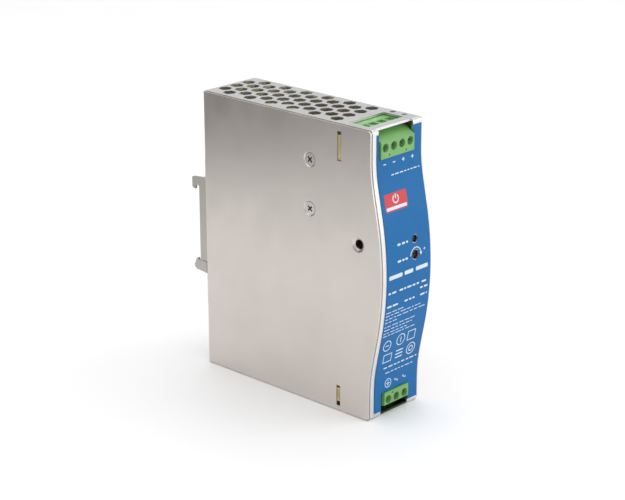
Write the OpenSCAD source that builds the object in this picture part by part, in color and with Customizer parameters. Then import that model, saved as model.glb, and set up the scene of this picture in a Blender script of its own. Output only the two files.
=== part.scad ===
// Slim metal-cased power supply that clips onto a 35 mm rail.
// X is the width, Y runs from the front to the back, Z is up.
// Inside the modules, y = 0 is the flat part of the front and from_front() moves it to the frame.

/* [Case] */
// Width over both side walls
body_w = 32; // [31:0.5:34]
// Height from the bottom edge to the top edge
body_h = 125.2; // [122:0.1:130]
// Depth from the flat front to the back wall
body_d = 95.8; // [90:0.1:110]
// Thickness of the case sheet
sheet = 1; // [0.8:0.1:1.2]
// Gap along the seam between the two shells
seam = 0.1; // [0.05:0.05:0.2]
// Outside bend radius of the sheet
bend_r = 1.6; // [1.3:0.1:2.2]

/* [Front bulge] */
// How far the front swells out in the middle
bulge = 6.2; // [4:0.1:8]
// Flat length at the top and bottom of the front
front_flat = 11.6; // [10:0.1:14]
// Slope of the straight flanks, in degrees
flank_angle = 11.3; // [9:0.1:13]
// Radius of the hollow blend at each end of the bulge
blend_r = 67; // [50:1:80]

/* [Label] */
// Thickness of the front label
label_t = 0.3; // [0.2:0.05:0.5]
// Left edge of the label
label_x0 = -12.5; // [-13.5:0.1:-12]
// Right edge of the label
label_x1 = 14.8; // [13.5:0.1:15]
// Margin above and below the label
label_margin = 2.4; // [2:0.1:4]

/* [Ventilation] */
// Hexagon size across flats
vent_af = 5.2; // [4:0.1:5.8]
// Distance between neighbouring hexagons
vent_pitch = 7.12; // [6.8:0.02:7.3]
// Middle of the vent field across the width
vent_x = 0.4; // [0:0.1:0.6]
// Distance of the first vent row from the front
vent_y0 = 23.2; // [22:0.1:24]

/* [Terminals] */
// Distance between neighbouring poles
pole_pitch = 5.08; // [5:0.02:5.2]
// Middle of the output terminals across the width
out_x = -0.6; // [-1:0.1:0]
// Middle of the input terminals across the width
in_x = 0.7; // [0:0.1:1]
// How far the terminal faces stand in front of the case
face_out = 1; // [0.6:0.1:1.4]
// Travel of a clamp from open to closed
clamp_travel = 2.5; // [2:0.1:2.5]

/* [Front controls] */
// Distance of the lamp and trimmer from the middle
control_x = 5.5; // [4:0.1:7]
// Height of the status lamp
lamp_z = 76.6; // [74:0.1:90]
// Height of the voltage trimmer
trimmer_z = 69.8; // [60:0.1:70]

/* [Rail clip] */
// Outside width of the clip
clip_w = 28; // [26:0.5:29]
// Thickness of the clip sheet
clip_t = 1.2; // [1:0.1:1.5]
// Distance from the back wall to the plane the rail rests on
seat_d = 5.3; // [5:0.1:6]
// Height of the upper end of the rail slot
hook_z = 81.3; // [78:0.1:90]
// Width of the rail
rail_w = 35; // [34.9:0.1:35.1]
// Travel of the latch
latch_travel = 4; // [3:0.5:4]

/* [Hidden] */
$fn = 48;
half_w = body_w / 2;
wall_x = half_w - sheet;
shell_x = wall_x - seam;
mid_z = body_h / 2;
back_y = body_d - sheet;
clip_y = body_d + 0.05;
seat_y = body_d + seat_d;
hook_y = seat_y + 4.3;
depth_mid = (hook_y - bulge - label_t) / 2;
bulge_half = mid_z - front_flat;

// Rounded front: a crown of one radius between straight flanks and hollow blends.
crown_r = crown_radius();
function crown_radius() =
    let (rise_blend = blend_r * (1 - cos(flank_angle)), run_blend = blend_r * sin(flank_angle))
    let (slope = tan(flank_angle), run = bulge_half - run_blend, rise = bulge - rise_blend)
    (run * slope - rise) / (sin(flank_angle) * slope - (1 - cos(flank_angle)));

function arc(cx, cy, r, a0, a1, n) =
    [for (i = [0:n]) [cx + r * cos(a0 + (a1 - a0) * i / n), cy + r * sin(a0 + (a1 - a0) * i / n)]];

// Side view of the front, bottom to top, moved inwards by off. Points are [y, z].
function front_curve(off) = concat(
    arc(-blend_r, front_flat, blend_r + off, 0, flank_angle, 8),
    arc(crown_r - bulge, mid_z, crown_r - off, 180 + flank_angle, 180 - flank_angle, 28),
    arc(-blend_r, body_h - front_flat, blend_r + off, -flank_angle, 0, 8));

// Closed side view of the case, moved inwards by off, as far back as y_end.
function case_side(off, y_end, corner_r) = concat(
    [[y_end, off]],
    arc(corner_r, corner_r, corner_r - off, 270, 180, 6),
    front_curve(off),
    arc(corner_r, body_h - corner_r, corner_r - off, 180, 90, 6),
    [[y_end, body_h - off]]);

// Depth of the front surface at height z on the crown.
function crown_y(z) = crown_r - bulge - sqrt(pow(crown_r, 2) - pow(z - mid_z, 2));

// ---------- placing helpers ----------

module from_front() {
    translate([0, -depth_mid, 0]) children();
}

// Extrudes a side view, given as [y, z], from x0 to x1.
module side_extrude(x0, x1) {
    translate([x0, 0, 0]) rotate([90, 0, 90]) linear_extrude(x1 - x0) children();
}

// Extrudes a top view, given as [x, y], from z0 to z1.
module up_extrude(z0, z1) {
    translate([0, 0, z0]) linear_extrude(z1 - z0) children();
}

// A box from its lowest to its highest corner.
module block(low, high) {
    translate(low) cube(high - low);
}

module rod_x(x0, x1, r, y, z) {
    translate([x0, y, z]) rotate([0, 90, 0]) cylinder(h = x1 - x0, r = r);
}

module rod_y(y0, y1, r, x, z) {
    translate([x, y0, z]) rotate([-90, 0, 0]) cylinder(h = y1 - y0, r = r);
}

// A cone along X, from radius r0 at x0 to radius r1 at x1.
module cone_x(x0, x1, r0, r1, y, z) {
    translate([x0, y, z]) rotate([0, 90, 0]) cylinder(h = x1 - x0, r1 = r0, r2 = r1);
}

// A ring of round wire about the Z axis.
module wire_ring(ring_r, wire_r) {
    rotate_extrude() translate([ring_r, 0]) circle(r = wire_r, $fn = 24);
}

// ---------- case ----------

cover_screw_y = 33.2;
cover_screw_zs = [86, 107.1];
spare_hole_y = 6.5;
spare_hole_z = 76.5;
tab_slot_y = [15.9, 17.9];
upper_slot_z = [109.8, 122.1];
lower_slot_z = [2.4, 11.5];
board_y = tab_slot_y[0] + 0.2;
board_t = 1.6;
dimple_r = 3.3;
countersink_x = 1.7;
rivet_r = 1.6;
rivet_spots = [[-8, 89], [8, 89], [-11, 32], [11, 32]];
standoff_spots = [[26, 8], [86, 8], [40, 117], [86, 117]];
standoff_r = 2.4;

function shell_section(x, y, r) = concat(
    [[x, -bulge - 5]],
    arc(x - r, y - r, r, 0, 90, 6),
    arc(-x + r, y - r, r, 90, 180, 6),
    [[-x, -bulge - 5]]);

module rear_shell() {
    color([0.72, 0.71, 0.69]) from_front() difference() {
        union() {
            intersection() {
                up_extrude(0, body_h) difference() {
                    polygon(shell_section(half_w, body_d, bend_r));
                    polygon(shell_section(wall_x, back_y, bend_r - sheet));
                }
                side_extrude(-half_w - 1, half_w + 1) polygon(case_side(sheet * 0.3, body_d + 1, bend_r));
                block([-half_w - 1, -bulge - 1, 0], [half_w + 1, body_d + 1, body_h]);
            }
            for (z = cover_screw_zs) {
                cone_x(-wall_x - 0.2, -wall_x + 1.1, 4.6, 3.3, cover_screw_y, z);
            }
            cone_x(-wall_x - 0.2, -wall_x + 0.6, 3.9, 3.1, spare_hole_y, spare_hole_z);
        }
        for (z = cover_screw_zs) {
            cone_x(-half_w, -half_w + countersink_x, dimple_r, rivet_r, cover_screw_y, z);
            rod_x(-half_w - 1, -wall_x + 2, rivet_r, cover_screw_y, z);
        }
        cone_x(-half_w, -half_w + 0.8, dimple_r, 2, spare_hole_y, spare_hole_z);
        rod_x(-half_w - 1, -wall_x + 2, 2, spare_hole_y, spare_hole_z);
        for (slot = [upper_slot_z, lower_slot_z]) {
            block([-half_w - 1, tab_slot_y[0], slot[0]], [-wall_x + 1, tab_slot_y[1], slot[1]]);
        }
        for (p = rivet_spots) {
            rod_y(back_y - 1, body_d + 1, rivet_r, p[0], p[1]);
        }
        for (p = standoff_spots) {
            rod_x(wall_x - 1, half_w + 1, standoff_r, p[0], p[1]);
        }
    }
}

// Windows and notches that the terminals show through.
out_notch_x = [-11.45, 9.95];
out_notch_z = 112.5;
out_window_x = [-11.3, 9.9];
in_notch_x = [-8.4, 8.8];
in_notch_z = 10.5;
in_window_x = [-8.2, 8.6];
window_y = [5.3, 15.9];
notch_y = 1.4;
in_notch_y = 1;
key_holes = [[12.9, 13.6, 1.4], [12.9, 7.4, 1.2]];
lamp_hole_r = 1.65;
trimmer_hole_r = 2;
flange_w = 8;

module vent_holes(z0, z1) {
    row_y = vent_pitch * sqrt(3);
    for (row = [0:6], i = [0:5]) {
        x = vent_x + (row - 3) * vent_pitch / 2;
        y = vent_y0 + i * row_y + (row % 2) * row_y / 2;
        translate([x, y, z0]) rotate([0, 0, 30]) cylinder(h = z1 - z0, r = vent_af / sqrt(3), $fn = 6);
    }
}

module front_shell() {
    color([0.76, 0.75, 0.73]) from_front() difference() {
        union() {
            difference() {
                side_extrude(-shell_x, shell_x) polygon(case_side(0, back_y - 0.2, bend_r));
                side_extrude(-half_w, half_w) polygon(case_side(sheet, body_d, bend_r));
            }
            for (x = [-shell_x, shell_x - sheet]) {
                side_extrude(x, x + sheet) front_flange();
            }
        }
        vent_holes(-1, sheet + 1);
        vent_holes(body_h - sheet - 1, body_h + 1);
        block([out_notch_x[0], -1, out_notch_z], [out_notch_x[1], 4, body_h - sheet]);
        block([out_notch_x[0], -1, body_h - 2], [out_notch_x[1], notch_y, body_h + 1]);
        block([out_window_x[0], window_y[0], body_h - 3], [out_window_x[1], window_y[1], body_h + 1]);
        block([in_notch_x[0], -1, sheet], [in_notch_x[1], 4, in_notch_z]);
        block([in_notch_x[0], -1, -1], [in_notch_x[1], in_notch_y, 2]);
        block([in_window_x[0], window_y[0], -1], [in_window_x[1], window_y[1], 3]);
        rod_y(-bulge - 1, 0, lamp_hole_r, control_x, lamp_z);
        rod_y(-bulge - 1, 0, trimmer_hole_r, control_x, trimmer_z);
        for (p = key_holes) {
            translate([p[0], p[1], body_h - 3]) cylinder(h = 5, r = p[2]);
        }
    }
}

// Return flange of the front, which lies inside a side wall.
module front_flange() {
    difference() {
        polygon(case_side(sheet / 2, flange_w, bend_r));
        translate([flange_w, -1]) square([2 * flange_w, body_h + 2]);
        intersection() {
            polygon(concat([[flange_w + 1, 9]], front_curve(flange_w - 0.5), [[flange_w + 1, body_h - 9]]));
            translate([-bulge, front_flat]) square([3 * flange_w, body_h - 2 * front_flat]);
        }
    }
}

module front_label() {
    color([0.12, 0.42, 0.66]) from_front() difference() {
        side_extrude(label_x0, label_x1) intersection() {
            difference() {
                polygon(case_side(-label_t, body_d, bend_r));
                polygon(case_side(-0.02, body_d + 1, bend_r));
            }
            translate([-bulge - 1, label_margin]) square([bulge + 2, body_h - 2 * label_margin]);
        }
        block([out_notch_x[0], -9, out_notch_z], [out_notch_x[1], 4, body_h]);
        block([in_notch_x[0], -9, 0], [in_notch_x[1], 4, in_notch_z]);
        rod_y(-bulge - 1, 0, lamp_hole_r + 0.25, control_x, lamp_z);
        rod_y(-bulge - 1, 0, trimmer_hole_r + 0.25, control_x, trimmer_z);
    }
}

module cover_screws() {
    color([0.75, 0.74, 0.72]) from_front() for (z = cover_screw_zs) {
        difference() {
            union() {
                rod_x(-half_w + 0.3, -half_w + 0.5, 2.75, cover_screw_y, z);
                cone_x(-half_w + 0.5, -half_w + countersink_x, 2.75, 1.5, cover_screw_y, z);
                rod_x(-half_w + 1, -half_w + 4.15, 1.45, cover_screw_y, z);
            }
            for (a = [45, 135]) {
                translate([-half_w, cover_screw_y, z]) rotate([a, 0, 0])
                    translate([0, -1.5, -0.35]) cube([1.2, 3, 0.7]);
            }
        }
    }
}

// ---------- rail clip ----------

catch_z = hook_z - rail_w + 0.1;
ear_t = clip_t;
ear_x = clip_w / 2;
slider_y = clip_y + clip_t + 0.25;
slider_back = slider_y + clip_t;
spring_x = 0;
spring_r = 1.5;
spring_wire_r = 0.28;
spring_y = clip_y + clip_t + 2.1;
lug_z = 48;
slider_tab_z = 65;
spring_z0 = lug_z + clip_t;
guide_r = 2;
guide_spots = [[-8, 58], [8, 58], [0, 35]];
slider_top = 69;
catch_bottom = catch_z - 5.2;

module rail_hook() {
    difference() {
        polygon([[clip_y, catch_z + 0.5], [seat_y, catch_z + 0.5], [seat_y, hook_z - 2.1],
            [seat_y + 2.5, hook_z - 2.1], [hook_y - 0.8, hook_z - 2.1], [hook_y, hook_z - 1.2],
            [hook_y, hook_z + 2.9], [hook_y - 0.5, hook_z + 3.3], [clip_y + 3, hook_z + 3.9],
            [clip_y, hook_z + 3.9]]);
        translate([seat_y + 1.2, hook_z - 1.2]) circle(r = 1.2);
        translate([seat_y, hook_z - 3]) square([2.4, 1.8]);
    }
}

module rail_bracket() {
    color([0.62, 0.61, 0.57]) from_front() difference() {
        union() {
            block([-ear_x, clip_y, 27], [ear_x, clip_y + clip_t, 94]);
            for (x = [-ear_x, ear_x - ear_t]) {
                side_extrude(x, x + ear_t) rail_hook();
            }
            block([-2.6, clip_y, lug_z], [2.6, seat_y - 0.6, lug_z + clip_t]);
            block([-ear_x, clip_y, hook_z + 2.7], [ear_x, seat_y - 2, hook_z + 3.9]);
        }
        for (p = rivet_spots) {
            rod_y(clip_y - 1, clip_y + clip_t + 1, rivet_r, p[0], p[1]);
        }
        for (p = guide_spots) {
            rod_y(clip_y - 1, clip_y + clip_t + 1, 1.3, p[0], p[1]);
        }
    }
}

module bracket_rivets() {
    color([0.7, 0.69, 0.66]) from_front() for (p = rivet_spots) {
        rod_y(back_y - 0.5, clip_y + clip_t + 0.2, rivet_r - 0.05, p[0], p[1]);
        rod_y(back_y - 1.1, back_y - 0.1, 2.6, p[0], p[1]);
        translate([p[0], clip_y + clip_t + 0.05, p[1]]) rotate([-90, 0, 0])
            cylinder(h = 1, r1 = 2.7, r2 = 1.6);
    }
}

// One catch of the slider: a flat ledge with a lip behind the rail and a slanted underside.
module rail_catch() {
    polygon([[slider_y, catch_bottom], [seat_y + 2.6, catch_bottom + 0.5],
        [hook_y - 0.6, catch_bottom + 1.4], [hook_y - 0.2, catch_bottom + 2.4],
        [seat_y + 2.4, catch_z + 0.7], [seat_y + 1.6, catch_z + 0.7],
        [seat_y + 1.4, catch_z], [slider_y, catch_z]]);
}

module latch_slider() {
    stem_x = 8;
    color([0.66, 0.65, 0.6]) from_front() difference() {
        union() {
            block([-ear_x + ear_t + 0.4, slider_y, catch_bottom],
                [ear_x - ear_t - 0.4, slider_back, slider_top]);
            block([-ear_x, slider_y, catch_bottom], [ear_x, slider_back, catch_z]);
            block([-stem_x, slider_y, 20], [stem_x, slider_back, catch_bottom + 1]);
            block([-5, slider_y, 12.5], [5, slider_back, 21]);
            for (x = [-ear_x, ear_x - ear_t]) {
                side_extrude(x, x + ear_t) rail_catch();
            }
            block([-2.6, slider_y, slider_tab_z], [2.6, seat_y - 0.6, slider_tab_z + clip_t]);
        }
        block([-3.2, slider_y - 1, lug_z - 1.5], [3.2, slider_back + 0.01, slider_tab_z]);
        block([-3.2, slider_back, lug_z - 1.5], [3.2, seat_y + 1, slider_tab_z]);
        block([-2.6, slider_y - 1, 14.5], [2.6, slider_back + 1, 17.5]);
        for (p = guide_spots) {
            for (dz = [0, latch_travel]) {
                rod_y(slider_y - 1, slider_back + 1, guide_r + 0.15, p[0], p[1] + dz);
            }
            block([p[0] - guide_r - 0.15, slider_y - 1, p[1]],
                [p[0] + guide_r + 0.15, slider_back + 1, p[1] + latch_travel]);
        }
    }
}

module latch_guide_rivets() {
    color([0.7, 0.69, 0.66]) from_front() for (p = guide_spots) {
        rod_y(clip_y + 0.1, clip_y + clip_t + 0.5, 1.25, p[0], p[1]);
        rod_y(clip_y + clip_t + 0.02, slider_back + 0.2, guide_r, p[0], p[1]);
        rod_y(slider_back + 0.15, slider_back + 1, 3.2, p[0], p[1]);
    }
}

module latch_spring() {
    coils = 11;
    step = (slider_tab_z - spring_z0 - 2 * spring_wire_r - 0.1) / (coils - 1);
    color([0.6, 0.6, 0.62]) from_front() for (i = [0:coils - 1]) {
        translate([spring_x, spring_y, spring_z0 + spring_wire_r + 0.05 + i * step])
            wire_ring(spring_r, spring_wire_r);
    }
}

// ---------- terminals ----------
// Their own frame: x across the poles, y depth, z up from the wire side of the block.
// place_output() hangs them under the top plate, place_input() stands them on the bottom.

block_gap = 0.2;
out_top_z = body_h - sheet - block_gap;
in_low_z = 2.1;
out_axis = 7;
in_axis = 4.7;
out_poles = 4;
in_poles = 3;
block_y1 = board_y - 0.1;
access_r = 1.8;
head_y = [0.6, 2.4];
ledge_y = 3;
cell_half = 2.25;
cage_half_z = 2.5;
cage_y = [ledge_y + clamp_travel + 0.2, 13.4];
window_cage_y = [7.2, 12.2];
shank_end = 7.15;
wire_y = 10.2;
wire_r = 1.5;
bar_y = [7.3, 8.1];
entry_depth = 0.8;

module place_output() {
    translate([out_x, 0, out_top_z]) mirror([0, 0, 1]) children();
}

module place_input() {
    translate([in_x, 0, in_low_z]) children();
}

function pole_x(i, poles) = (i - (poles - 1) / 2) * pole_pitch;

// Housing with poles cells. axis is the screw height, and the face reaches from lip to face_top.
module terminal_housing(poles, axis, lip, face_top) {
    half = poles * pole_pitch / 2;
    top = axis + 4.4;
    step = face_top < top ? [[-face_out, face_top], [6, face_top], [6, top]] : [[-face_out, top]];
    difference() {
        side_extrude(-half, half) polygon(concat([[block_y1, 0], [5.4, 0], [5.4, 0.8], [5, 1.2],
            [-face_out + 0.4, lip - 0.1], [-face_out, lip + 0.3]], step, [[block_y1, top]]));
        for (i = [0:poles - 1]) {
            translate([pole_x(i, poles), 0, 0]) terminal_cell(axis);
        }
        for (i = [0:2:poles - 2]) {
            rod_y(-face_out - 1, 0.6, 0.45, pole_x(i, poles) + pole_pitch / 2, face_top - 1.1);
        }
    }
}

// Everything cut out of the housing for one pole.
module terminal_cell(axis) {
    rod_y(-face_out - 1, head_y[1] + 0.05, access_r, 0, axis);
    rod_y(0, ledge_y + 1, 1.55, 0, axis);
    block([-cell_half, ledge_y, axis - cage_half_z - 0.2],
        [cell_half, block_y1 + 1, axis + cage_half_z + 0.2]);
    block([-1.6, 6.9, axis], [1.6, block_y1 + 1, axis + 4]);
    translate([0, wire_y, -1]) cylinder(h = axis, r = wire_r);
    block([-1.8, wire_y - 1.6, -1], [1.8, wire_y + 1.6, entry_depth]);
    side_extrude(-1.4, 1.4)
        polygon([[wire_y - 3.4, -0.1], [wire_y, -0.1], [wire_y, 1.3], [wire_y - 1.2, 1.3]]);
}

module output_terminal_block() {
    color([0.4, 0.66, 0.34]) from_front() place_output()
        terminal_housing(out_poles, out_axis, 4.4, out_axis + 4.4);
}

module input_terminal_block() {
    color([0.4, 0.66, 0.34]) from_front() place_input() terminal_housing(in_poles, in_axis, 2.4, 8.2);
}

// Flat contact bar with a leg that is soldered to the board.
module contact_bars(poles, axis) {
    for (i = [0:poles - 1]) {
        translate([pole_x(i, poles), 0, axis]) {
            block([-1.3, bar_y[0], -2.4], [1.3, bar_y[1], 3.9]);
            block([-1.3, bar_y[0], 3.1], [1.3, board_y - 0.1, 3.9]);
            block([-0.6, bar_y[1], 3.1], [0.6, board_y + board_t + 1, 3.9]);
        }
    }
}

module output_terminal_bars() {
    color([0.8, 0.68, 0.4]) from_front() place_output() contact_bars(out_poles, out_axis);
}

module input_terminal_bars() {
    color([0.8, 0.68, 0.4]) from_front() place_input() contact_bars(in_poles, in_axis);
}

// Screw with a slotted cross head, lying along Y.
module terminal_screw(x, axis) {
    difference() {
        union() {
            rod_y(head_y[0], head_y[1], 1.7, x, axis);
            rod_y(head_y[0] + 0.5, shank_end, 1.4, x, axis);
        }
        block([x - 1.8, head_y[0] - 1, axis - 0.25], [x + 1.8, head_y[0] + 0.7, axis + 0.25]);
        block([x - 0.25, head_y[0] - 1, axis - 1.1], [x + 0.25, head_y[0] + 0.7, axis + 1.1]);
    }
}

// Rising cage that pulls the wire against the contact bar.
module clamp_cage(x, axis) {
    difference() {
        block([x - 2.1, cage_y[0], axis - cage_half_z], [x + 2.1, cage_y[1], axis + cage_half_z]);
        block([x - 1.6, window_cage_y[0], axis - 3], [x + 1.6, window_cage_y[1], axis + 3]);
        rod_y(cage_y[0] - 1, window_cage_y[0] + 1, 1.45, x, axis);
    }
}

module output_screw(i) {
    color([0.72, 0.72, 0.7]) from_front() place_output() terminal_screw(pole_x(i, out_poles), out_axis);
}

module input_screw(i) {
    color([0.72, 0.72, 0.7]) from_front() place_input() terminal_screw(pole_x(i, in_poles), in_axis);
}

module output_clamp(i) {
    color([0.78, 0.76, 0.7]) from_front() place_output() clamp_cage(pole_x(i, out_poles), out_axis);
}

module input_clamp(i) {
    color([0.78, 0.76, 0.7]) from_front() place_input() clamp_cage(pole_x(i, in_poles), in_axis);
}

// ---------- boards ----------

main_x = [11.5, 13.1];
board_z = [4, 121.2];
board_back = 92;
board_hole_r = 1.5;

module output_board() {
    color([0.62, 0.52, 0.25]) from_front() difference() {
        union() {
            block([-12.5, board_y, 101], [11.3, board_y + board_t, 123.4]);
            block([-half_w + 0.1, board_y, upper_slot_z[0] + 0.4],
                [-12, board_y + board_t, upper_slot_z[1] - 1.6]);
        }
        place_output() bar_slots(out_poles, out_axis);
    }
}

module input_board() {
    color([0.62, 0.52, 0.25]) from_front() difference() {
        union() {
            block([-12.5, board_y, 1.6], [11.3, board_y + board_t, 24]);
            block([-half_w + 0.1, board_y, lower_slot_z[0] + 2],
                [-12, board_y + board_t, lower_slot_z[1] - 1]);
        }
        place_input() bar_slots(in_poles, in_axis);
    }
}

module bar_slots(poles, axis) {
    for (i = [0:poles - 1]) {
        x = pole_x(i, poles);
        block([x - 0.8, board_y - 1, axis + 2.9], [x + 0.8, board_y + board_t + 1, axis + 4.1]);
    }
}

module main_board() {
    color([0.2, 0.42, 0.24]) from_front() difference() {
        side_extrude(main_x[0], main_x[1]) polygon([[board_y + 3, board_z[0]], [board_back, board_z[0]],
            [board_back, board_z[1]], [board_y + 3, board_z[1]], [board_y + 3, 100], [3, 96],
            [-1, 90], [-1, 34], [3, 28], [board_y + 3, 25]]);
        for (p = standoff_spots) {
            rod_x(main_x[0] - 1, main_x[1] + 1, board_hole_r, p[0], p[1]);
        }
    }
}

module board_standoffs() {
    color([0.74, 0.73, 0.7]) from_front() for (p = standoff_spots) {
        difference() {
            rod_x(main_x[1] + 0.05, half_w - 0.05, standoff_r - 0.05, p[0], p[1]);
            rod_x(main_x[1] - 1, half_w - 0.6, 1.3, p[0], p[1]);
        }
    }
}

module board_screws() {
    color([0.75, 0.74, 0.7]) from_front() for (p = standoff_spots) {
        difference() {
            union() {
                rod_x(main_x[0] - 1.6, main_x[0] - 0.05, 2.6, p[0], p[1]);
                rod_x(main_x[0] - 1, half_w - 0.9, 1.22, p[0], p[1]);
            }
            for (a = [0, 90]) {
                translate([main_x[0] - 2, p[0], p[1]]) rotate([a, 0, 0])
                    translate([0, -1.4, -0.3]) cube([1.1, 2.8, 0.6]);
            }
        }
    }
}

module insulation_sheet() {
    color([0.85, 0.8, 0.62]) from_front() difference() {
        block([wall_x - 0.6, 12, 4], [wall_x - 0.3, board_back, 121]);
        for (p = standoff_spots) {
            rod_x(wall_x - 2, wall_x + 1, standoff_r + 0.5, p[0], p[1]);
        }
    }
}

// ---------- front controls ----------

trimmer_y = crown_y(trimmer_z) + 2.6;
lamp_y = crown_y(lamp_z) + 0.35;

module trimmer_body() {
    color([0.2, 0.32, 0.6]) from_front() {
        difference() {
            block([control_x - 3.2, trimmer_y, trimmer_z - 3.2],
                [control_x + 3.2, trimmer_y + 4.4, trimmer_z + 3.2]);
            rod_y(trimmer_y - 1, trimmer_y + 2, 2.5, control_x, trimmer_z);
        }
        for (dz = [-2, 0, 2]) {
            block([control_x + 2, trimmer_y + 2.2, trimmer_z + dz - 0.3],
                [main_x[1] + 0.4, trimmer_y + 2.7, trimmer_z + dz + 0.3]);
        }
    }
}

module trimmer_rotor() {
    color([0.75, 0.62, 0.42]) from_front() difference() {
        union() {
            rod_y(trimmer_y - 1.3, trimmer_y + 0.3, 1.75, control_x, trimmer_z);
            rod_y(trimmer_y + 0.2, trimmer_y + 1.7, 2.4, control_x, trimmer_z);
        }
        block([control_x - 1.4, trimmer_y - 2, trimmer_z - 0.3],
            [control_x + 1.4, trimmer_y - 0.5, trimmer_z + 0.3]);
        block([control_x - 0.3, trimmer_y - 2, trimmer_z - 1.4],
            [control_x + 0.3, trimmer_y - 0.5, trimmer_z + 1.4]);
    }
}

module status_led() {
    color([0.75, 0.85, 0.7]) from_front() {
        intersection() {
            union() {
                translate([control_x, lamp_y + 1.5, lamp_z]) sphere(r = 1.5);
                rod_y(lamp_y + 1.5, lamp_y + 4.6, 1.5, control_x, lamp_z);
            }
            block([control_x - 2, lamp_y - 1, lamp_z - 2], [control_x + 2, lamp_y + 9, lamp_z + 2]);
        }
        rod_y(lamp_y + 4.5, lamp_y + 5.5, 1.9, control_x, lamp_z);
        for (dz = [-1.27, 1.27]) {
            block([control_x - 0.25, lamp_y + 5.4, lamp_z + dz - 0.25],
                [control_x + 0.25, lamp_y + 7.2, lamp_z + dz + 0.25]);
            block([control_x - 0.25, lamp_y + 6.7, lamp_z + dz - 0.25],
                [main_x[1] + 0.4, lamp_y + 7.2, lamp_z + dz + 0.25]);
        }
    }
}

// ---------- parts on the main board ----------

mount_x = main_x[0] - 0.1;

// Wire legs from a part down to the board, at the given [y, z] spots.
module legs(x0, spots, r = 0.35) {
    for (p = spots) {
        rod_x(x0, main_x[1] + 0.4, r, p[0], p[1]);
    }
}

// A coated disc standing on edge across the depth, with two legs.
module disc_part(disc_r, thick, x, y, z) {
    translate([x, y - thick / 2, z]) rotate([-90, 0, 0]) rotate_extrude() {
        polygon(concat([[0, 0], [disc_r - thick / 2, 0]],
            arc(disc_r - thick / 2, thick / 2, thick / 2, -80, 80, 8),
            [[disc_r - thick / 2, thick], [0, thick]]));
    }
    legs(x + disc_r * 0.6, [[y, z - disc_r * 0.6], [y, z + disc_r * 0.6]]);
}

module fuse() {
    color([0.85, 0.84, 0.78]) from_front() {
        rod_y(26, 42, 2.4, 7.6, 30);
        rod_y(24, 27, 2.6, 7.6, 30);
        rod_y(41, 44, 2.6, 7.6, 30);
        legs(7.6, [[25.2, 30], [42.8, 30]]);
    }
}

module inrush_thermistor() {
    color([0.16, 0.2, 0.18]) from_front() disc_part(6.5, 4.6, 3.6, 46, 14);
}

module varistor() {
    color([0.16, 0.32, 0.62]) from_front() disc_part(6, 4, 4.2, 54, 14);
}

module x_capacitor() {
    color([0.86, 0.76, 0.3]) from_front() {
        block([-3, 22.5, 33.5], [mount_x, 40.5, 45]);
        legs(mount_x - 0.5, [[24.5, 39], [38.5, 39]]);
    }
}

module y_capacitors() {
    color([0.25, 0.45, 0.72]) from_front() {
        disc_part(4, 3, 6.4, 30, 52);
        disc_part(4, 3, 6.4, 37, 52);
    }
}

line_choke = [1.2, 31, 16];
choke_r = 6.6;
choke_core_r = 2.8;

module choke_ring(centre) {
    translate(centre) rotate([90, 0, 0]) children();
}

module line_choke_core() {
    color([0.18, 0.3, 0.2]) from_front() choke_ring(line_choke) wire_ring(choke_r, choke_core_r);
}

// Turns of wire round a ring core between two angles.
module core_turns(a0, a1, turns) {
    for (i = [0:turns - 1]) {
        rotate([0, 0, a0 + (a1 - a0) * i / (turns - 1)]) translate([choke_r, 0, 0]) rotate([90, 0, 0])
            wire_ring(choke_core_r + 0.55, 0.42);
    }
}

module line_choke_windings() {
    color([0.72, 0.4, 0.2]) from_front() {
        choke_ring(line_choke) {
            core_turns(20, 160, 8);
            core_turns(200, 340, 8);
        }
    }
}

module bridge_rectifier() {
    color([0.13, 0.13, 0.14]) from_front() {
        side_extrude(-4, 4.5) polygon([[62, 4.5], [78, 4.5], [80, 6.5], [80, 8], [62, 8]]);
        legs(4, [[64, 6.2], [68.5, 6.2], [73, 6.2], [77.5, 6.2]], 0.5);
    }
}

module bulk_capacitor() {
    color([0.16, 0.17, 0.2]) from_front() {
        difference() {
            translate([-12.4, 71.5, 22.5]) rotate([0, 90, 0]) rotate_extrude() polygon(concat(
                [[0, 0], [9.2, 0]], arc(10.2, 1, 1, 270, 360, 5),
                [[11.2, 22], [10.7, 22.6], [11.2, 23.4], [0, 23.4]]));
            for (a = [0, 60, 120]) {
                translate([-12.4, 71.5, 22.5]) rotate([a, 0, 0])
                    translate([-1, -5, -0.25]) cube([1.3, 10, 0.5]);
            }
        }
        legs(10.8, [[66.5, 22.5], [76.5, 22.5]], 0.5);
    }
}

heatsink_z = 46.5;

module switch_heatsink() {
    color([0.78, 0.78, 0.78]) from_front() {
        difference() {
            block([-12.5, 46, heatsink_z], [10.8, 90, heatsink_z + 2]);
            translate([-7, 56, heatsink_z - 1]) cylinder(h = 4, r = 1.6);
            for (y = [66:4:86]) {
                block([-14, y, heatsink_z - 1], [-7, y + 1.6, heatsink_z + 3]);
            }
        }
        legs(10.6, [[49, heatsink_z + 1], [87, heatsink_z + 1]], 0.8);
    }
}

// Moulded transistor with a metal tab, lying flat on its back at z = 0, legs towards +x.
module tab_transistor() {
    difference() {
        block([-9.2, -5, 0], [0, 5, 1.3]);
        translate([-6.6, 0, -1]) cylinder(h = 3, r = 1.8);
    }
    block([0, -5, 0], [9, 5, 4.4]);
    block([-0.6, -4.2, 1.3], [0.5, 4.2, 3.6]);
    for (y = [-2.54, 0, 2.54]) {
        block([8.9, y - 0.4, 2], [13.9, y + 0.4, 2.6]);
    }
}

module switch_transistor() {
    color([0.14, 0.14, 0.15]) from_front() translate([-0.4, 56, heatsink_z - 0.05]) mirror([0, 0, 1])
        tab_transistor();
}

transformer_y = [52, 82];
transformer_z = [93, 119];
transformer_x = [-12, 10];

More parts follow.
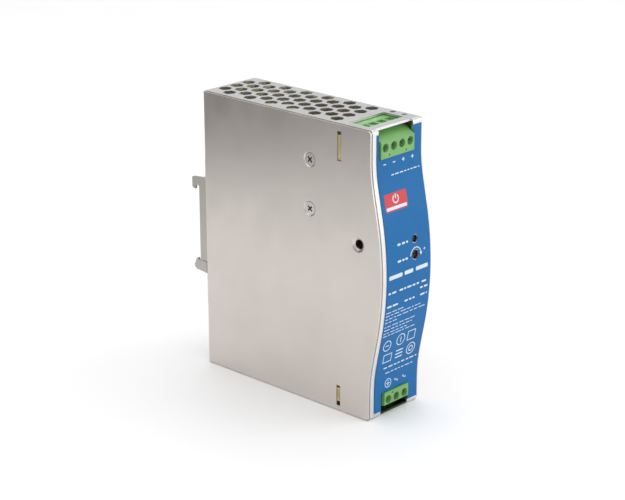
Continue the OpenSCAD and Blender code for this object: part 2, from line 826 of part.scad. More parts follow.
module transformer_core() {
    mid = (transformer_y[0] + transformer_y[1]) / 2;
    color([0.22, 0.22, 0.23]) from_front() difference() {
        block([transformer_x[0], transformer_y[0], transformer_z[0] + 6],
            [transformer_x[1], transformer_y[1], transformer_z[1] - 6]);
        block([transformer_x[0] + 5, transformer_y[0] + 5, transformer_z[0]],
            [transformer_x[1] - 5, mid - 4.5, transformer_z[1]]);
        block([transformer_x[0] + 5, mid + 4.5, transformer_z[0]],
            [transformer_x[1] - 5, transformer_y[1] - 5, transformer_z[1]]);
    }
}

module transformer_bobbin() {
    mid = (transformer_y[0] + transformer_y[1]) / 2;
    color([0.88, 0.84, 0.7]) from_front() {
        difference() {
            union() {
                for (x = [transformer_x[0] + 5.1, transformer_x[1] - 6.3]) {
                    block([x, transformer_y[0] + 5.2, transformer_z[0]],
                        [x + 1.2, transformer_y[1] - 5.2, transformer_z[1]]);
                }
                block([transformer_x[0] + 5.1, mid - 5.6, transformer_z[0] + 4.8],
                    [transformer_x[1] - 5.1, mid + 5.6, transformer_z[1] - 4.8]);
                for (z = [transformer_z[0], transformer_z[1] - 4]) {
                    block([transformer_x[1] - 5.2, transformer_y[0] + 5.2, z],
                        [mount_x, transformer_y[1] - 5.2, z + 4]);
                }
            }
            block([transformer_x[0], mid - 4.6, transformer_z[0] + 5.8],
                [transformer_x[1], mid + 4.6, transformer_z[1] - 5.8]);
        }
        for (z = [transformer_z[0] + 2, transformer_z[1] - 2]) {
            legs(mount_x - 1, [for (i = [0:4]) [transformer_y[0] + 7 + i * 4, z]], 0.4);
        }
    }
}

module transformer_winding() {
    mid = (transformer_y[0] + transformer_y[1]) / 2;
    low = transformer_z[0] + 0.6;
    high = transformer_z[1] - 0.6;
    color([0.93, 0.78, 0.16]) from_front() difference() {
        side_extrude(transformer_x[0] + 6.4, transformer_x[1] - 6.4) polygon([
            [transformer_y[0] + 7, low], [transformer_y[1] - 7, low], [transformer_y[1] - 5.4, low + 1.6],
            [transformer_y[1] - 5.4, high - 1.6], [transformer_y[1] - 7, high],
            [transformer_y[0] + 7, high], [transformer_y[0] + 5.4, high - 1.6],
            [transformer_y[0] + 5.4, low + 1.6]]);
        block([-20, mid - 5.7, transformer_z[0] + 4.7], [20, mid + 5.7, transformer_z[1] - 4.7]);
    }
}

rectifier_spot = [38.5, 105.5];

module secondary_heatsink() {
    x1 = -wall_x + 3.2;
    color([0.78, 0.78, 0.78]) from_front() difference() {
        union() {
            block([-wall_x + 1.2, 22, 78], [x1, 46, 116]);
            block([-wall_x + 1.2, 44, 78], [2, 46, 116]);
        }
        for (z = cover_screw_zs) {
            rod_x(-wall_x, x1 + 1, 1.5, cover_screw_y, z);
        }
        rod_x(-wall_x, x1 + 1, 1.3, rectifier_spot[0], rectifier_spot[1]);
    }
}

module output_rectifier() {
    color([0.14, 0.14, 0.15]) from_front()
        translate([-wall_x + 3.25, rectifier_spot[0], rectifier_spot[1] - 9.5])
        rotate([0, 90, 0]) rotate([0, 0, -90]) rectifier_shape();
}

// Tabbed rectifier flat on the heatsink, its legs bent over to the board.
module rectifier_shape() {
    difference() {
        block([-5, -12, 0], [5, -2, 1.3]);
        translate([0, -9.5, -1]) cylinder(h = 3, r = 1.8);
    }
    block([-5, -3, 0], [5, 6, 4.4]);
    for (x = [-2.54, 0, 2.54]) {
        block([x - 0.4, 5.9, 2], [x + 0.4, 8.3, 2.6]);
        block([x - 0.4, 7.7, 2], [x + 0.4, 8.3, 25.2]);
    }
}

out_cap_spots = [[56, 60], [56, 72], [68, 72]];

module output_capacitors() {
    color([0.2, 0.34, 0.24]) from_front() for (p = out_cap_spots) {
        difference() {
            translate([-8.5, p[0], p[1]]) rotate([0, 90, 0]) rotate_extrude() polygon(concat(
                [[0, 0], [4.3, 0]], arc(4.4, 0.6, 0.6, 270, 360, 4),
                [[5, 18.2], [4.6, 18.8], [5, 19.6], [0, 19.6]]));
            for (a = [0, 90]) {
                translate([-8.5, p[0], p[1]]) rotate([a, 0, 0])
                    translate([-1, -3.2, -0.2]) cube([1.25, 6.4, 0.4]);
            }
        }
        legs(10.8, [[p[0] - 2.5, p[1]], [p[0] + 2.5, p[1]]]);
    }
}

output_choke = [1, 88, 104];

module output_choke_core() {
    color([0.9, 0.82, 0.35]) from_front() choke_ring(output_choke) wire_ring(choke_r, choke_core_r);
}

module output_choke_winding() {
    color([0.75, 0.42, 0.2]) from_front() choke_ring(output_choke) core_turns(-150, 150, 15);
}

module optocouplers() {
    color([0.93, 0.93, 0.9]) from_front() for (y = [66, 76]) {
        block([mount_x - 4, y - 2.3, 84.2], [mount_x - 0.4, y + 2.3, 88.8]);
        for (dy = [-1.27, 1.27], z = [82.8, 90.2]) {
            block([mount_x - 2.3, y + dy - 0.3, z - 0.3], [main_x[1] + 0.4, y + dy + 0.3, z + 0.3]);
            block([mount_x - 2.3, y + dy - 0.3, min(z, 86.5) - 0.3],
                [mount_x - 1.8, y + dy + 0.3, max(z, 86.5) + 0.3]);
        }
    }
}

module control_chip() {
    color([0.12, 0.12, 0.13]) from_front() {
        block([mount_x - 1.6, 20, 60], [mount_x - 0.15, 24, 65]);
        for (i = [0:3]) {
            block([mount_x - 0.6, 18.9, 60.4 + i * 1.27], [mount_x, 25.1, 60.8 + i * 1.27]);
        }
    }
}

module device_screws() {
    color([0.75, 0.74, 0.7]) from_front() {
        translate([-7, 56, heatsink_z - 3.5]) cylinder(h = 2.1, r = 2.6);
        translate([-7, 56, heatsink_z - 2]) cylinder(h = 5.5, r = 1.45);
        rod_x(-wall_x + 4.6, -wall_x + 6.6, 2.6, rectifier_spot[0], rectifier_spot[1]);
        rod_x(-wall_x + 1.4, -wall_x + 5, 1.25, rectifier_spot[0], rectifier_spot[1]);
    }
}

rear_shell();
front_shell();
front_label();
cover_screws();
rail_bracket();
bracket_rivets();
latch_slider();
latch_guide_rivets();
latch_spring();
output_terminal_block();
input_terminal_block();
output_terminal_bars();
input_terminal_bars();
output_screw(0);  // output_screw_1
output_screw(1);  // output_screw_2
output_screw(2);  // output_screw_3
output_screw(3);  // output_screw_4
input_screw(0);  // input_screw_1
input_screw(1);  // input_screw_2
input_screw(2);  // input_screw_3
output_clamp(0);  // output_clamp_1
output_clamp(1);  // output_clamp_2
output_clamp(2);  // output_clamp_3
output_clamp(3);  // output_clamp_4
input_clamp(0);  // input_clamp_1
input_clamp(1);  // input_clamp_2
input_clamp(2);  // input_clamp_3
output_board();
input_board();
main_board();
board_standoffs();
board_screws();
insulation_sheet();
trimmer_body();
trimmer_rotor();
status_led();
fuse();
inrush_thermistor();
varistor();
x_capacitor();
y_capacitors();
line_choke_core();
line_choke_windings();
bridge_rectifier();
bulk_capacitor();
switch_heatsink();
switch_transistor();
transformer_core();
transformer_bobbin();
transformer_winding();
secondary_heatsink();
output_rectifier();
output_capacitors();
output_choke_core();
output_choke_winding();
optocouplers();
control_chip();
device_screws();
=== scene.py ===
# Looks of the DIN rail power supply: finishes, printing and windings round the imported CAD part,
# with the stage, the light and the camera.
import math
import random

import bmesh
import bpy
from mathutils import Matrix, Vector
from mathutils.bvhtree import BVHTree


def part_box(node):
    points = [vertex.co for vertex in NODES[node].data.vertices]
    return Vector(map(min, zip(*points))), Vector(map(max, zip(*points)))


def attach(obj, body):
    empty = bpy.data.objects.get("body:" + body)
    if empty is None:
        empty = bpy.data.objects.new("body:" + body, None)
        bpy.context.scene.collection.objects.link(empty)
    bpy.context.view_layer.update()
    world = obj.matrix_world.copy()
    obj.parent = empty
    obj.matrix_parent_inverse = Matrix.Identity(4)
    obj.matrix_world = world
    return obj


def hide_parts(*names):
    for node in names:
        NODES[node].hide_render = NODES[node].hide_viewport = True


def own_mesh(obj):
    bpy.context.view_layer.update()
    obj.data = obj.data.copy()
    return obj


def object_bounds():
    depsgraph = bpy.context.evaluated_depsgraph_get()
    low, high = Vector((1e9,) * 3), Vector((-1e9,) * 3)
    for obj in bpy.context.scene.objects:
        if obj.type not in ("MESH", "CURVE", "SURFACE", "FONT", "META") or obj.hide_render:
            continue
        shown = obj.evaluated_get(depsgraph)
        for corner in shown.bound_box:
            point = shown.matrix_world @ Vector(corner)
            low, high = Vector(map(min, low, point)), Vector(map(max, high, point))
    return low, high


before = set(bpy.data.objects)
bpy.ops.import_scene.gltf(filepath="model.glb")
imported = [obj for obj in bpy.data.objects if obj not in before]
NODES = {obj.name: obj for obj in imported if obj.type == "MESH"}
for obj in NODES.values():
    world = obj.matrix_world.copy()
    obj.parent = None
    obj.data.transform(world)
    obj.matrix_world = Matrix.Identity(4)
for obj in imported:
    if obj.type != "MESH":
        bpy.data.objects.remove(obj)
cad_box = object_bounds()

MM = 0.001

# Colours that more than one finish needs, and those of the inks and the stage
WHITE_INK = (0.66, 0.77, 0.86)
RED_INK = (0.62, 0.035, 0.045)
BLACK_EPOXY = (0.022, 0.022, 0.024)
TINNED = (0.62, 0.61, 0.58)
CAN_STRIPE = (0.62, 0.64, 0.62)
BARE_ALUMINIUM = (0.78, 0.78, 0.78)
CARD_GREY = (0.20, 0.20, 0.20)

# The camera of the photo, from a fit to the edges of the case
CAMERA_AZIMUTH = 47.083
CAMERA_ELEVATION = 19.452
CAMERA_ROLL = -0.0016
CAMERA_LENS = 105.84
CAMERA_PLACE = (-0.54209, -0.50706, 0.32203)

# The card that darkens the reflections in the left wall: half its side, its squeeze and its place
CARD_HALF = 0.35
CARD_SQUEEZE = 0.32
CARD_PLACE = (-0.16, 0.20, 0.14)


# ---------- finishes ----------


class Finish:
    """A Principled material with short helpers that add its procedural nodes."""

    def __init__(self, name, color, roughness, metallic=0.0, **fixed):
        self.material = bpy.data.materials.new(name)
        self.material.use_nodes = True
        self.tree = self.material.node_tree
        self.shader = self.tree.nodes["Principled BSDF"]
        self.base = color
        self.normal = None
        self.shader.inputs["Base Color"].default_value = (*color, 1)
        self.shader.inputs["Roughness"].default_value = roughness
        self.shader.inputs["Metallic"].default_value = metallic
        for word, value in fixed.items():
            socket = word.replace("_", " ").title().replace("Ior", "IOR")
            self.shader.inputs[socket].default_value = value

    def add(self, kind, **props):
        node = self.tree.nodes.new(kind)
        for key, value in props.items():
            setattr(node, key, value)
        return node

    def link(self, out, into):
        self.tree.links.new(out, into)

    def place(self, stretch=(1, 1, 1), about=(0, 0, 0)):
        """Object coordinates in metres, counted from about and stretched."""
        node = self.add("ShaderNodeMapping", vector_type="TEXTURE")
        node.inputs["Location"].default_value = about
        node.inputs["Scale"].default_value = stretch
        self.link(self.add("ShaderNodeTexCoord").outputs["Object"], node.inputs["Vector"])
        return node.outputs["Vector"]

    def noise(self, size, detail=3.0, stretch=(1, 1, 1)):
        node = self.add("ShaderNodeTexNoise")
        node.inputs["Scale"].default_value = 1 / size
        node.inputs["Detail"].default_value = detail
        self.link(self.place(stretch), node.inputs["Vector"])
        return node.outputs["Fac"]

    def cells(self, size, feature="F1"):
        node = self.add("ShaderNodeTexVoronoi", feature=feature)
        node.inputs["Scale"].default_value = 1 / size
        self.link(self.place(), node.inputs["Vector"])
        return node.outputs["Distance"]

    def waves(self, size, axis):
        node = self.add("ShaderNodeTexWave", bands_direction=axis)
        node.inputs["Scale"].default_value = 1 / size / math.pi
        self.link(self.place(), node.inputs["Vector"])
        return node.outputs["Fac"]

    def remap(self, value, low, high, a, b):
        node = self.add("ShaderNodeMapRange")
        for socket, number in zip(("From Min", "From Max", "To Min", "To Max"), (low, high, a, b)):
            node.inputs[socket].default_value = number
        self.link(value, node.inputs["Value"])
        return node.outputs["Result"]

    def math(self, operation, a, b):
        node = self.add("ShaderNodeMath", operation=operation)
        for socket, value in zip(node.inputs, (a, b)):
            if isinstance(value, (int, float)):
                socket.default_value = value
            else:
                self.link(value, socket)
        return node.outputs["Value"]

    def along(self, axis):
        node = self.add("ShaderNodeSeparateXYZ")
        self.link(self.place(), node.inputs["Vector"])
        return node.outputs[axis]

    def span(self, axis, low, high, soft=0.05 * MM):
        """1 where the coordinate lies between low and high, else 0."""
        place = self.along(axis)
        rise = self.remap(place, low - soft, low + soft, 0, 1)
        fall = self.remap(place, high - soft, high + soft, 1, 0)
        return self.math("MULTIPLY", rise, fall)

    def within(self, about, reach, stretch=(1, 1, 1)):
        """1 inside the ellipsoid of that reach round a point, else 0."""
        soft = 0.1 * MM
        node = self.add("ShaderNodeVectorMath", operation="LENGTH")
        self.link(self.place(stretch, about), node.inputs[0])
        return self.remap(node.outputs["Value"], reach - soft, reach + soft, 1, 0)

    def mix(self, share, a, b):
        node = self.add("ShaderNodeMix", data_type="RGBA")
        self.link(share, node.inputs[0])
        for socket, value in ((node.inputs[6], a), (node.inputs[7], b)):
            if isinstance(value, tuple):
                socket.default_value = (*value, 1)
            else:
                self.link(value, socket)
        return node.outputs[2]

    def shade(self, factor):
        """The base colour times a factor."""
        return tuple(min(1.0, c * factor) for c in self.base)

    def color(self, out):
        self.link(out, self.shader.inputs["Base Color"])

    def rough(self, value, low, high, a, b):
        self.link(self.remap(value, low, high, a, b), self.shader.inputs["Roughness"])

    def metal(self, value):
        self.link(value, self.shader.inputs["Metallic"])

    def bump(self, height, depth):
        node = self.add("ShaderNodeBump")
        node.inputs["Distance"].default_value = depth
        self.link(height, node.inputs["Height"])
        if self.normal:
            self.link(self.normal, node.inputs["Normal"])
        self.normal = node.outputs["Normal"]
        self.link(self.normal, self.shader.inputs["Normal"])


def sheet_steel(name, color, roughness, grain=(1, 12, 1)):
    """Satin zinc-coated sheet: rolled grain, faint clouds and a soft crystal pattern."""
    look = Finish(name, color, roughness, metallic=1.0)
    clouds = look.noise(30 * MM, 2)
    look.color(look.mix(look.remap(clouds, 0.3, 0.7, 0, 1), look.shade(0.965), look.shade(1.03)))
    crystals = look.cells(1.4 * MM)
    smudges = look.noise(11 * MM, 4)
    mixed = look.math("ADD", look.math("MULTIPLY", crystals, 0.25), smudges)
    look.rough(mixed, 0.4, 0.9, roughness - 0.035, roughness + 0.05)
    look.bump(look.noise(0.16 * MM, 2, grain), 0.0035 * MM)
    look.bump(look.noise(9 * MM, 1), 0.02 * MM)
    return look


def front_sheet():
    """Sheet of the front, whose cut strip under the input terminals is painted near-black as painted
    shade.
    """
    look = sheet_steel("front_steel", (0.73, 0.735, 0.725), 0.34)
    low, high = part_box("input_terminal_block")
    across = look.span("X", low.x - 0.5 * MM, high.x + 0.5 * MM)
    along = look.span("Y", low.y + 1.9 * MM, low.y + 6.8 * MM)
    upright = look.span("Z", 0.15 * MM, 1.5 * MM)
    strip = look.math("MULTIPLY", look.math("MULTIPLY", across, along), upright)
    plain = look.shader.inputs["Base Color"].links[0].from_socket
    # Painted shade: the strip under the input terminal block gets a tenth of the base colour.
    look.color(look.mix(strip, plain, look.shade(0.1)))
    return look


def turned_metal(name, color, roughness):
    """Small screws and rivets: fine tool marks and a little tarnish."""
    look = Finish(name, color, roughness, metallic=1.0)
    tarnish = look.noise(1.1 * MM, 4)
    look.color(look.mix(look.remap(tarnish, 0.35, 0.7, 0, 1), look.shade(1.0), look.shade(0.8)))
    look.rough(tarnish, 0.3, 0.7, roughness - 0.06, roughness + 0.1)
    look.bump(look.noise(0.12 * MM, 3), 0.004 * MM)
    return look


def cross_screws(name, node, head_r):
    """Turned screws in the wall, whose cross recesses are painted dark as painted shade."""
    look = turned_metal(name, (0.62, 0.60, 0.575), 0.28)
    low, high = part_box(node)
    recess = look.span("X", low.x + 0.1 * MM, low.x + 1.1 * MM, 0.04 * MM)
    middle_y = (low.y + high.y) / 2
    near = look.math("MAXIMUM", look.within((low.x, middle_y, low.z + head_r), 1.6 * MM),
                     look.within((low.x, middle_y, high.z - head_r), 1.6 * MM))
    # Painted shade: the cross recesses of both heads get 0.12 of the base colour.
    look.color(look.mix(look.math("MULTIPLY", recess, near), look.shade(1.0), look.shade(0.12)))
    return look


def moulding(name, color, roughness, grain=0.25 * MM, **fixed):
    """Moulded plastic: slight flow clouds and a spark-eroded grain."""
    look = Finish(name, color, roughness, **fixed)
    flow = look.noise(4 * MM, 3)
    look.color(look.mix(look.remap(flow, 0.3, 0.7, 0, 1), look.shade(0.93), look.shade(1.05)))
    look.rough(look.noise(1.5 * MM, 3), 0.3, 0.7, roughness - 0.05, roughness + 0.07)
    look.bump(look.noise(grain, 2), 0.006 * MM)
    return look


def dipped_coat(name, color):
    """Epoxy dip on discs: glossy, with dimples and runs."""
    roughness = 0.28
    look = Finish(name, color, roughness, coat_weight=0.4, coat_roughness=0.12)
    runs = look.noise(2.2 * MM, 2)
    look.color(look.mix(look.remap(runs, 0.3, 0.7, 0, 1), look.shade(0.85), look.shade(1.1)))
    look.rough(runs, 0.3, 0.7, roughness - 0.05, roughness + 0.1)
    look.bump(runs, 0.12 * MM)
    look.bump(look.noise(0.3 * MM, 2), 0.01 * MM)
    return look


def glass_board(name, color):
    """Glass-epoxy board: woven cloth under the resin, with darker copper areas beneath."""
    look = Finish(name, color, 0.42, coat_weight=0.15, coat_roughness=0.25)
    thread = 0.45 * MM
    weft = look.waves(thread, "Z")
    warp = look.math("ADD", look.waves(thread, "X"), look.waves(thread, "Y"))
    weave = look.math("MULTIPLY", weft, warp)
    cloth = look.mix(look.remap(weave, 0.2, 1.2, 0, 1), look.shade(0.85), look.shade(1.12))
    copper = look.remap(look.cells(7 * MM, feature="DISTANCE_TO_EDGE"), 0.05, 0.09, 0, 1)
    look.color(look.mix(copper, cloth, look.shade(0.74)))
    look.rough(look.noise(2 * MM, 3), 0.3, 0.7, 0.36, 0.5)
    look.bump(copper, 0.02 * MM)
    look.bump(weave, 0.01 * MM)
    return look


def enamelled_wire():
    """Copper under a clear, slightly amber enamel."""
    look = Finish("copper_enamel", (0.62, 0.24, 0.08), 0.25, metallic=0.85, coat_weight=0.8,
                  coat_roughness=0.15, coat_tint=(1.0, 0.78, 0.5, 1))
    patina = look.noise(1.2 * MM, 3)
    look.color(look.mix(look.remap(patina, 0.3, 0.7, 0, 1), look.shade(0.75), look.shade(1.15)))
    look.rough(patina, 0.3, 0.7, 0.2, 0.34)
    look.bump(look.noise(0.3 * MM, 2), 0.006 * MM)
    return look


def ferrite(name, color, roughness=0.55):
    """Pressed and sintered core: grainy and matt."""
    look = Finish(name, color, roughness)
    grains = look.cells(0.35 * MM)
    look.color(look.mix(look.remap(grains, 0.1, 0.6, 0, 1), look.shade(1.25), look.shade(0.8)))
    look.rough(look.noise(1.2 * MM, 4), 0.3, 0.7, roughness - 0.12, roughness + 0.12)
    look.bump(grains, 0.012 * MM)
    look.bump(look.noise(2.5 * MM, 2), 0.04 * MM)
    return look


def anodised(name, color):
    """Drawn aluminium with lines along the profile."""
    look = Finish(name, color, 0.4, metallic=1.0)
    drawn = look.noise(0.25 * MM, 3, (20, 1, 1))
    look.color(look.mix(look.remap(drawn, 0.3, 0.7, 0, 1), look.shade(0.92), look.shade(1.05)))
    look.rough(drawn, 0.3, 0.7, 0.32, 0.46)
    look.bump(drawn, 0.006 * MM)
    return look


def winding_tape():
    """Yellow polyester tape: glossy film with the edges of its layers showing."""
    look = Finish("winding_tape", (0.93, 0.76, 0.22), 0.22, coat_weight=0.5, coat_roughness=0.08)
    low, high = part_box("transformer_winding")
    layers = look.waves(1.3 * MM, "X")
    edges = look.remap(layers, 0.9, 1.0, 0, 1)
    look.color(look.mix(edges, look.shade(1.0), look.shade(0.72)))
    seam = look.span("Z", (low.z + high.z) / 2, high.z - 3 * MM)
    look.bump(look.math("ADD", edges, seam), 0.03 * MM)
    look.bump(look.noise(3 * MM, 2), 0.05 * MM)
    look.rough(look.noise(2 * MM, 3), 0.3, 0.7, 0.18, 0.32)
    return look


def can_sleeve(name, color, tops, top_x, top_r):
    """Shrink sleeve on a can, open over the aluminium end, with a pale stripe on its negative side."""
    look = Finish(name, color, 0.3, coat_weight=0.25, coat_roughness=0.2)
    bare = None
    stripe = None
    for top in tops:
        disc = look.within((top_x, *top), top_r, stretch=(6, 1, 1))
        side = look.within((0, top[0], top[1] + top_r), 0.25 * top_r, stretch=(100, 1, 1))
        bare = disc if bare is None else look.math("MAXIMUM", bare, disc)
        stripe = side if stripe is None else look.math("MAXIMUM", stripe, side)
    clouds = look.remap(look.noise(3 * MM, 3), 0.3, 0.7, 0, 1)
    sleeve = look.mix(clouds, look.shade(0.85), look.shade(1.1))
    printed = look.mix(stripe, sleeve, CAN_STRIPE)
    look.color(look.mix(bare, printed, BARE_ALUMINIUM))
    look.metal(bare)
    look.rough(look.noise(1.4 * MM, 3), 0.3, 0.7, 0.24, 0.4)
    look.bump(look.noise(1.8 * MM, 2), 0.03 * MM)
    return look


def label_film():
    """Printed polyester film: satin, with a very fine texture."""
    look = Finish("label_film", (0.003, 0.135, 0.375), 0.42, specular_ior_level=0.22)
    ink = look.noise(14 * MM, 2)
    look.color(look.mix(look.remap(ink, 0.3, 0.7, 0, 1), look.shade(0.96), look.shade(1.04)))
    look.rough(look.noise(1.2 * MM, 3), 0.3, 0.7, 0.36, 0.46)
    look.bump(look.noise(0.2 * MM, 2), 0.004 * MM)
    return look


def ink(name, color):
    """Screen-printed ink, a little uneven."""
    look = Finish(name, color, 0.42)
    screen = look.noise(0.35 * MM, 2)
    look.color(look.mix(look.remap(screen, 0.3, 0.7, 0, 1), look.shade(0.94), look.shade(1.04)))
    look.rough(screen, 0.3, 0.7, 0.36, 0.5)
    return look


def tabbed_device():
    """Black epoxy packages whose mounting tabs and legs are tinned metal."""
    look = Finish("moulded_black", BLACK_EPOXY, 0.5)
    switch_low, switch_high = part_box("switch_transistor")
    rect_low, rect_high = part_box("output_rectifier")
    tab = 1.25 * MM
    switch_tab = look.math("MULTIPLY", look.span("Z", switch_high.z - tab, switch_high.z + MM),
                           look.span("X", switch_low.x - MM, switch_low.x + 9.1 * MM))
    rect_tab = look.math("MULTIPLY", look.span("X", rect_low.x - MM, rect_low.x + tab),
                         look.span("Z", rect_high.z - 9.0 * MM, rect_high.z + MM))
    legs = look.span("X", 6.2 * MM, 14 * MM)
    bare = look.math("MAXIMUM", look.math("MAXIMUM", switch_tab, rect_tab), legs)
    look.color(look.mix(bare, BLACK_EPOXY, TINNED))
    look.metal(bare)
    look.rough(look.noise(0.8 * MM, 3), 0.3, 0.7, 0.42, 0.58)
    look.bump(look.noise(0.18 * MM, 3), 0.008 * MM)
    return look


def floor_finish():
    """Pale studio floor with barely visible clouds."""
    look = Finish("studio_floor", (0.94, 0.94, 0.94), 0.55)
    look.color(look.mix(look.noise(0.5, 2), (0.935, 0.935, 0.935), (0.945, 0.945, 0.945)))
    look.rough(look.noise(0.05, 2), 0.3, 0.7, 0.5, 0.6)
    return look


def can_centres(node, radius):
    """(y, z) of the cans in a node, worked out from the box round them."""
    low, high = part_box(node)
    ys = (low.y + radius, high.y - radius)
    zs = (low.z + radius, high.z - radius)
    return ys, zs


def finish_table():
    """Finish of each material slot of the record."""
    (bulk_y, _), (bulk_z, _) = can_centres("bulk_capacitor", 11.2 * MM)
    (near_y, far_y), (low_z, high_z) = can_centres("output_capacitors", 5 * MM)
    small_tops = [(near_y, low_z), (near_y, high_z), (far_y, high_z)]
    return {
        "case_steel": sheet_steel("case_steel", (0.67, 0.624, 0.583), 0.34),
        "front_steel": front_sheet(),
        "clip_steel": sheet_steel("clip_steel", (0.50, 0.48, 0.435), 0.4, (1, 1, 12)),
        "screw_steel": turned_metal("screw_steel", (0.70, 0.69, 0.66), 0.26),
        "cover_screw_steel": cross_screws("cover_screw_steel", "cover_screws", 2.75 * MM),
        "rivet_steel": turned_metal("rivet_steel", (0.66, 0.65, 0.62), 0.32),
        "spring_steel": turned_metal("spring_steel", (0.50, 0.50, 0.51), 0.28),
        "standoff_steel": turned_metal("standoff_steel", (0.68, 0.67, 0.64), 0.3),
        "contact_brass": turned_metal("contact_brass", (0.78, 0.66, 0.42), 0.3),
        "clamp_nickel": turned_metal("clamp_nickel", (0.72, 0.70, 0.64), 0.25),
        "label_film": label_film(),
        "terminal_green": moulding("terminal_green", (0.17, 0.41, 0.12), 0.34, subsurface_weight=0.08,
                                   subsurface_scale=0.001),
        "board_fr4": glass_board("board_fr4", (0.56, 0.44, 0.19)),
        "board_main": glass_board("board_main", (0.50, 0.40, 0.18)),
        "fish_paper": moulding("fish_paper", (0.72, 0.63, 0.42), 0.6),
        "trimmer_blue": moulding("trimmer_blue", (0.04, 0.12, 0.36), 0.4),
        # Painted shade: the cream rotor gets a dark brown base colour for the shade of its hole in the
        # front.
        "trimmer_cream": moulding("trimmer_cream", (0.10, 0.05, 0.022), 0.5, specular_ior_level=0.3),
        "led_lens": moulding("led_lens", (0.010, 0.016, 0.010), 0.45, specular_ior_level=0.25),
        "fuse_ceramic": moulding("fuse_ceramic", (0.80, 0.78, 0.70), 0.3, coat_weight=0.4),
        "thermistor_coat": dipped_coat("thermistor_coat", (0.03, 0.05, 0.04)),
        "varistor_coat": dipped_coat("varistor_coat", (0.04, 0.14, 0.42)),
        "ceramic_blue": dipped_coat("ceramic_blue", (0.06, 0.24, 0.55)),
        "capacitor_yellow": moulding("capacitor_yellow", (0.80, 0.62, 0.12), 0.35),
        "choke_core": ferrite("choke_core", (0.05, 0.16, 0.08), 0.4),
        "powder_core": ferrite("powder_core", (0.85, 0.72, 0.18), 0.4),
        "ferrite": ferrite("ferrite", (0.045, 0.045, 0.05)),
        "copper_wire": enamelled_wire(),
        "moulded_black": tabbed_device(),
        "bobbin_cream": moulding("bobbin_cream", (0.90, 0.83, 0.62), 0.4),
        "coupler_white": moulding("coupler_white", (0.82, 0.82, 0.78), 0.4),
        "heatsink_alu": anodised("heatsink_alu", (0.80, 0.80, 0.79)),
        "tape_yellow": winding_tape(),
        "can_sleeve": can_sleeve("can_sleeve", (0.02, 0.022, 0.03), [(bulk_y, bulk_z)],
                                 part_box("bulk_capacitor")[0].x, 9.0 * MM),
        "can_green": can_sleeve("can_green", (0.02, 0.07, 0.04), small_tops,
                                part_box("output_capacitors")[0].x, 4.0 * MM),
    }


# ---------- mesh helpers ----------


def new_object(name, mesh, finish, body="case"):
    """Links a piece made from a bmesh or a mesh, gives it its finish and lets it ride on a body."""
    if isinstance(mesh, bmesh.types.BMesh):
        made = bpy.data.meshes.new(name)
        mesh.to_mesh(made)
        mesh.free()
        mesh = made
    piece = bpy.data.objects.new(name, mesh)
    bpy.context.scene.collection.objects.link(piece)
    mesh.materials.clear()
    mesh.materials.append(finish.material)
    if body:
        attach(piece, body)
    return piece


def smooth_group():
    """Geometry nodes that shade every face smooth."""
    group = bpy.data.node_groups.new("shade_smooth", "GeometryNodeTree")
    group.interface.new_socket("Geometry", in_out="INPUT", socket_type="NodeSocketGeometry")
    group.interface.new_socket("Geometry", in_out="OUTPUT", socket_type="NodeSocketGeometry")
    start = group.nodes.new("NodeGroupInput")
    smooth = group.nodes.new("GeometryNodeSetShadeSmooth")
    end = group.nodes.new("NodeGroupOutput")
    group.links.new(start.outputs[0], smooth.inputs["Geometry"])
    group.links.new(smooth.outputs[0], end.inputs[0])
    return group


SMOOTH = smooth_group()


def soften(piece, width):
    """Rounds the edges with modifiers, so that they catch the light as real ones do."""
    weld = piece.modifiers.new("weld", "WELD")
    weld.merge_threshold = 0.002 * MM
    flat = piece.modifiers.new("flat", "DECIMATE")
    flat.decimate_type = "DISSOLVE"
    flat.angle_limit = math.radians(0.3)
    bevel = piece.modifiers.new("round_edges", "BEVEL")
    bevel.width = width
    bevel.segments = 2
    bevel.limit_method = "ANGLE"
    bevel.angle_limit = math.radians(30)
    bevel.use_clamp_overlap = True
    shade = piece.modifiers.new("shade", "NODES")
    shade.node_group = SMOOTH
    normals = piece.modifiers.new("normals", "WEIGHTED_NORMAL")
    normals.weight = 50
    normals.keep_sharp = False


def sweep(points, radius, sides):
    """A tube of round wire along a list of points, closed at both ends, as a bmesh."""
    mesh = bmesh.new()
    last = len(points) - 1
    rings = []
    side = None
    for i, point in enumerate(points):
        ahead = points[min(i + 1, last)]
        behind = points[max(i - 1, 0)]
        run = (ahead - behind).normalized()
        if side is None:
            side = run.orthogonal().normalized()
        side = (side - run * side.dot(run)).normalized()
        up = run.cross(side)
        rings.append([mesh.verts.new(point + radius * (side * math.cos(a) + up * math.sin(a)))
                      for a in (2 * math.pi * k / sides for k in range(sides))])
    mesh.faces.new(rings[0][::-1])
    mesh.faces.new(rings[-1])
    for a, b in zip(rings, rings[1:]):
        for k in range(sides):
            face = mesh.faces.new((a[k], a[(k + 1) % sides], b[(k + 1) % sides], b[k]))
            face.smooth = True
    bmesh.ops.recalc_face_normals(mesh, faces=mesh.faces)
    return mesh


def joined(meshes):
    """One bmesh from several."""
    whole = bmesh.new()
    for mesh in meshes:
        part = bpy.data.meshes.new("part")
        mesh.to_mesh(part)
        mesh.free()
        whole.from_mesh(part)
        bpy.data.meshes.remove(part)
    return whole


# ---------- front label ----------


class FrontSurface:
    """Where the label's outer face lies at each height, found by casting rays at its left strip."""

    def __init__(self):
        mesh = NODES["front_label"].data
        self.tree = BVHTree.FromPolygons([v.co.copy() for v in mesh.vertices],
                                         [tuple(p.vertices) for p in mesh.polygons])
        low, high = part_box("front_label")
        self.low, self.high = low, high

    def y(self, z):
        margin = 0.05 * MM
        z = min(max(z, self.low.z + margin), self.high.z - margin)
        start = Vector((self.low.x + 0.6 * MM, self.low.y - 50 * MM, z))
        hit = self.tree.ray_cast(start, Vector((0, 1, 0)))
        return hit[0].y


FRONT = FrontSurface()
# How far the film lies behind its CAD face, and how far the ink stands in front of the film
FILM_SINK = 0.05 * MM
INK_LIFT = 0.03 * MM


